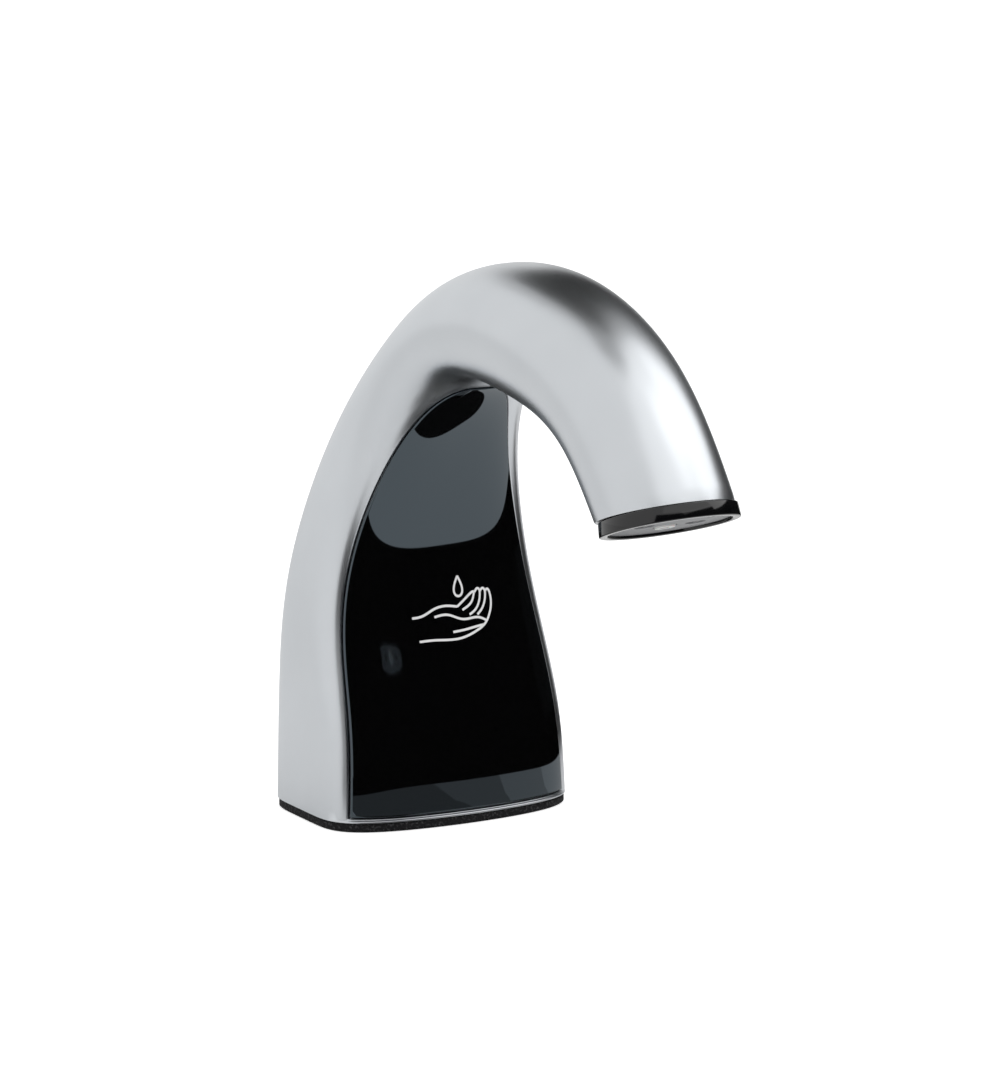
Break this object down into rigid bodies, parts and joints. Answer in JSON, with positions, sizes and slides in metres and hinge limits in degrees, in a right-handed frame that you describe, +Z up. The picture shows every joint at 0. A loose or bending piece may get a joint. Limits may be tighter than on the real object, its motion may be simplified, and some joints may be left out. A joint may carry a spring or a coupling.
{
  "type": "automatic soap dispenser",
  "caption": "Deck-mounted automatic soap dispenser: satin spout arching forward from a wide foot, glossy black front fascia, black outlet collar with a hand sensor, and a gear pump inside.",
  "frame": {"origin": "centre of the shank hole, on the counter's surface under the foot gasket", "axes": "+Z up from the counter, -Y the way the spout reaches towards the user, +X to the user's right as they face it"},
  "size_m": [0.08, 0.1795, 0.1645],
  "materials": {
    "satin_chrome": "satin",
    "gloss_black": "gloss",
    "foam_black": "matte",
    "collar_black": "gloss",
    "face_grey": "matte",
    "zinc_plate": "satin",
    "dark_plastic": "matte",
    "pale_acetal": "satin",
    "brass": "satin",
    "steel": "satin",
    "board_green": "satin",
    "clear_silicone": "satin",
    "dark_lens": "gloss",
    "lead_red": "matte",
    "lead_black": "matte"
  },
  "bodies": {
    "casing": {"spout_shell": "satin_chrome", "front_fascia": "gloss_black", "base_gasket": "foam_black", "nozzle_collar": "collar_black", "nozzle_face": "face_grey", "base_plate": "zinc_plate", "drive_frame": "zinc_plate", "base_plate_screw_1": "steel", "base_plate_screw_2": "steel", "base_plate_screw_3": "steel", "base_plate_screw_4": "steel", "frame_screw_1": "steel", "frame_screw_2": "steel", "motor_screw_1": "steel", "motor_screw_2": "steel", "cover_screw_1": "steel", "cover_screw_2": "steel", "cover_screw_3": "steel", "cover_screw_4": "steel", "pump_screw_1": "steel", "pump_screw_2": "steel", "pump_screw_3": "steel", "pump_screw_4": "steel", "board_screw_1": "steel", "board_screw_2": "steel", "face_screw_1": "steel", "face_screw_2": "steel", "motor_can": "steel", "idler_pin": "steel", "outlet_spring": "steel", "inlet_barb": "pale_acetal", "motor_connector": "pale_acetal", "power_connector": "pale_acetal", "sensor_connector": "pale_acetal", "power_socket": "dark_plastic", "motor_end_cap": "dark_plastic", "pump_housing": "dark_plastic", "pump_cover": "dark_plastic", "switch_body": "dark_plastic", "outlet_valve_body": "dark_plastic", "control_board": "board_green", "sensor_board": "board_green", "delivery_tube": "clear_silicone", "suction_tube": "clear_silicone", "outlet_nozzle": "clear_silicone", "status_led": "clear_silicone", "ir_emitter": "dark_lens", "ir_receiver": "dark_lens", "sensor_cable": "lead_black", "power_lead": "lead_black", "motor_lead_1": "lead_black", "motor_lead_2": "lead_red"},
    "drive": {"reduction_gear": "pale_acetal", "drive_shaft": "steel", "pump_drive_gear": "pale_acetal"},
    "motor": {"motor_rotor": "steel", "motor_pinion": "brass"},
    "idler": {"pump_idler_gear": "pale_acetal"},
    "poppet": {"outlet_poppet": "brass"},
    "button": {"service_button": "lead_red"}
  },
  "joints": [
    {"name": "drive_spin", "type": "hinge", "parent": "casing", "child": "drive", "pos_m": [0.003, 0.0058, 0.05], "axis": [0, 0, 1], "continuous": true},
    {"name": "motor_spin", "type": "hinge", "parent": "casing", "child": "motor", "pos_m": [-0.012, 0.0058, 0.05], "axis": [0, 0, 1], "continuous": true},
    {"name": "idler_spin", "type": "hinge", "parent": "casing", "child": "idler", "pos_m": [0.003, 0.0158, 0.06], "axis": [0, 0, 1], "continuous": true},
    {"name": "poppet_slide", "type": "slide", "parent": "casing", "child": "poppet", "axis": [0, -0.314, -0.9494], "range_m": [0, 0.0012], "stiffness_N_per_m": 300, "springref_m": -0.0008, "deforming": ["outlet_spring"]},
    {"name": "button_slide", "type": "slide", "parent": "casing", "child": "button", "axis": [0, 1, 0], "range_m": [0, 0.0006], "stiffness_N_per_m": 400, "springref_m": -0.0005}
  ],
  "couplings": [
    {"joint": "motor_spin", "follows": "drive_spin", "ratio": -4},
    {"joint": "idler_spin", "follows": "drive_spin", "ratio": -1}
  ]
}
